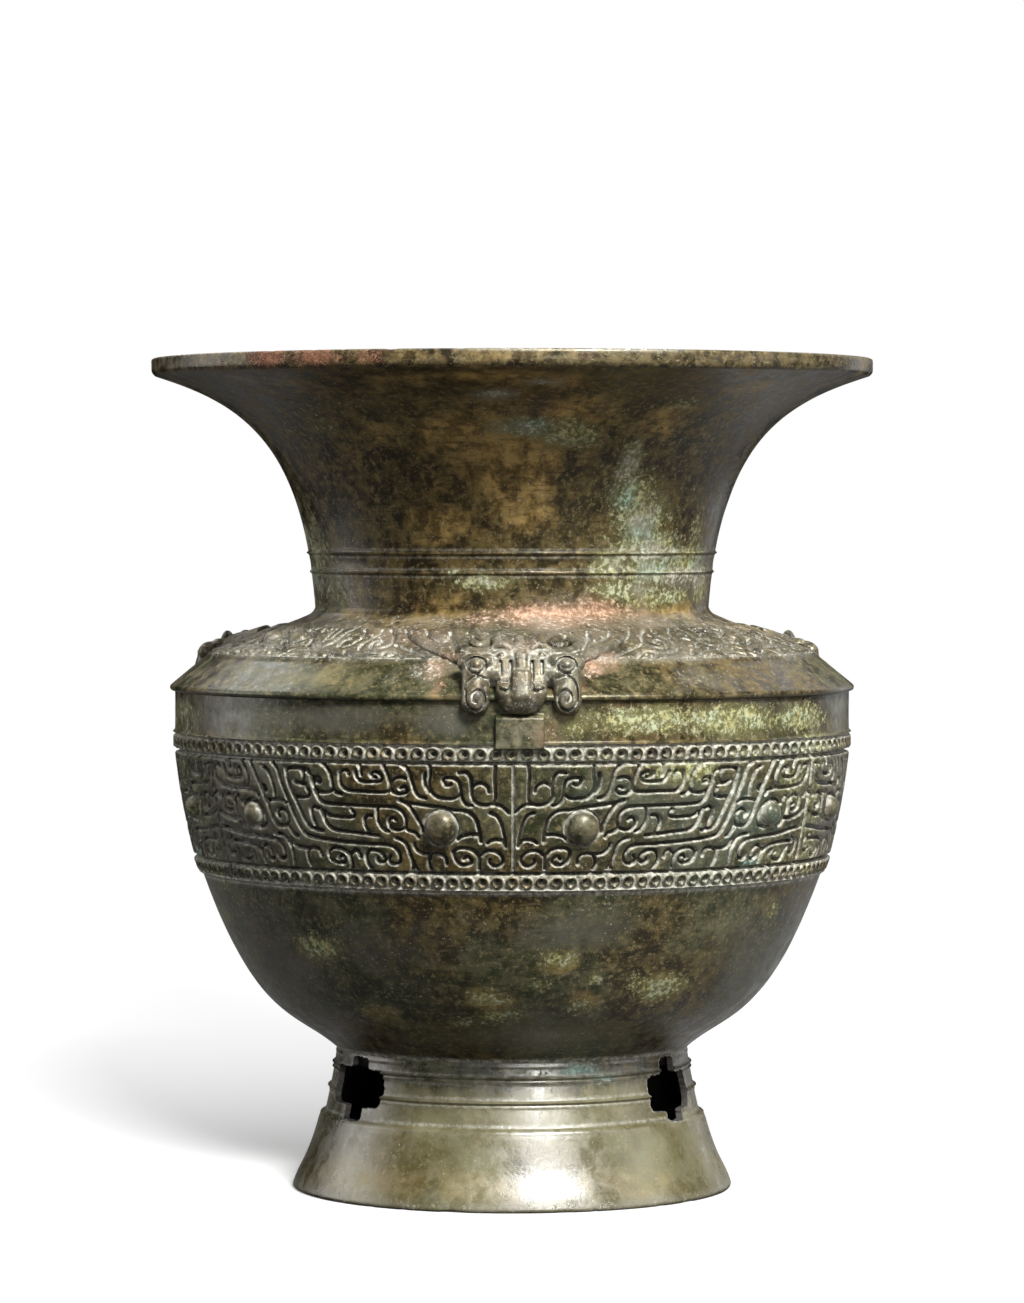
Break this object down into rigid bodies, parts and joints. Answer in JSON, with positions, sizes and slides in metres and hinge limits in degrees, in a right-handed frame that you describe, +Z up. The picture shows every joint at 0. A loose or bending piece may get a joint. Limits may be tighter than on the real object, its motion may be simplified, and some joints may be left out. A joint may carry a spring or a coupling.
{
  "type": "bronze zun wine vessel",
  "caption": "Wide-mouthed bronze wine vessel with a trumpet neck, broad shoulder bearing beast heads, deep ornamented belly and a flared ring foot pierced by cross-shaped holes.",
  "frame": {"origin": "on the floor, on the vessel's axis, in the plane of the standing ring", "axes": "+Z up along the vessel's axis, the front beast head and mask towards -Y, +X to the viewer's right"},
  "size_m": [0.331, 0.331, 0.38],
  "materials": {
    "patinated_bronze": "dark brown-olive patina, semi-gloss, with green and pale corrosion",
    "cast_on_bronze": "dark patina, semi-gloss, pale deposits in the hollows",
    "chaplet_bronze": "dark patina, flush with the wall"
  },
  "bodies": {
    "root": {"vessel_body": "patinated_bronze", "front_beast_head": "cast_on_bronze", "right_beast_head": "cast_on_bronze", "left_beast_head": "cast_on_bronze", "neck_chaplet_1": "chaplet_bronze", "neck_chaplet_2": "chaplet_bronze", "neck_chaplet_3": "chaplet_bronze", "neck_chaplet_4": "chaplet_bronze", "neck_chaplet_5": "chaplet_bronze", "neck_chaplet_6": "chaplet_bronze", "upper_belly_chaplet_1": "chaplet_bronze", "upper_belly_chaplet_2": "chaplet_bronze", "upper_belly_chaplet_3": "chaplet_bronze", "upper_belly_chaplet_4": "chaplet_bronze", "upper_belly_chaplet_5": "chaplet_bronze", "upper_belly_chaplet_6": "chaplet_bronze", "lower_belly_chaplet_1": "chaplet_bronze", "lower_belly_chaplet_2": "chaplet_bronze", "lower_belly_chaplet_3": "chaplet_bronze", "base_chaplet_1": "chaplet_bronze", "base_chaplet_2": "chaplet_bronze", "base_chaplet_3": "chaplet_bronze", "base_chaplet_4": "chaplet_bronze"}
  },
  "joints": []
}
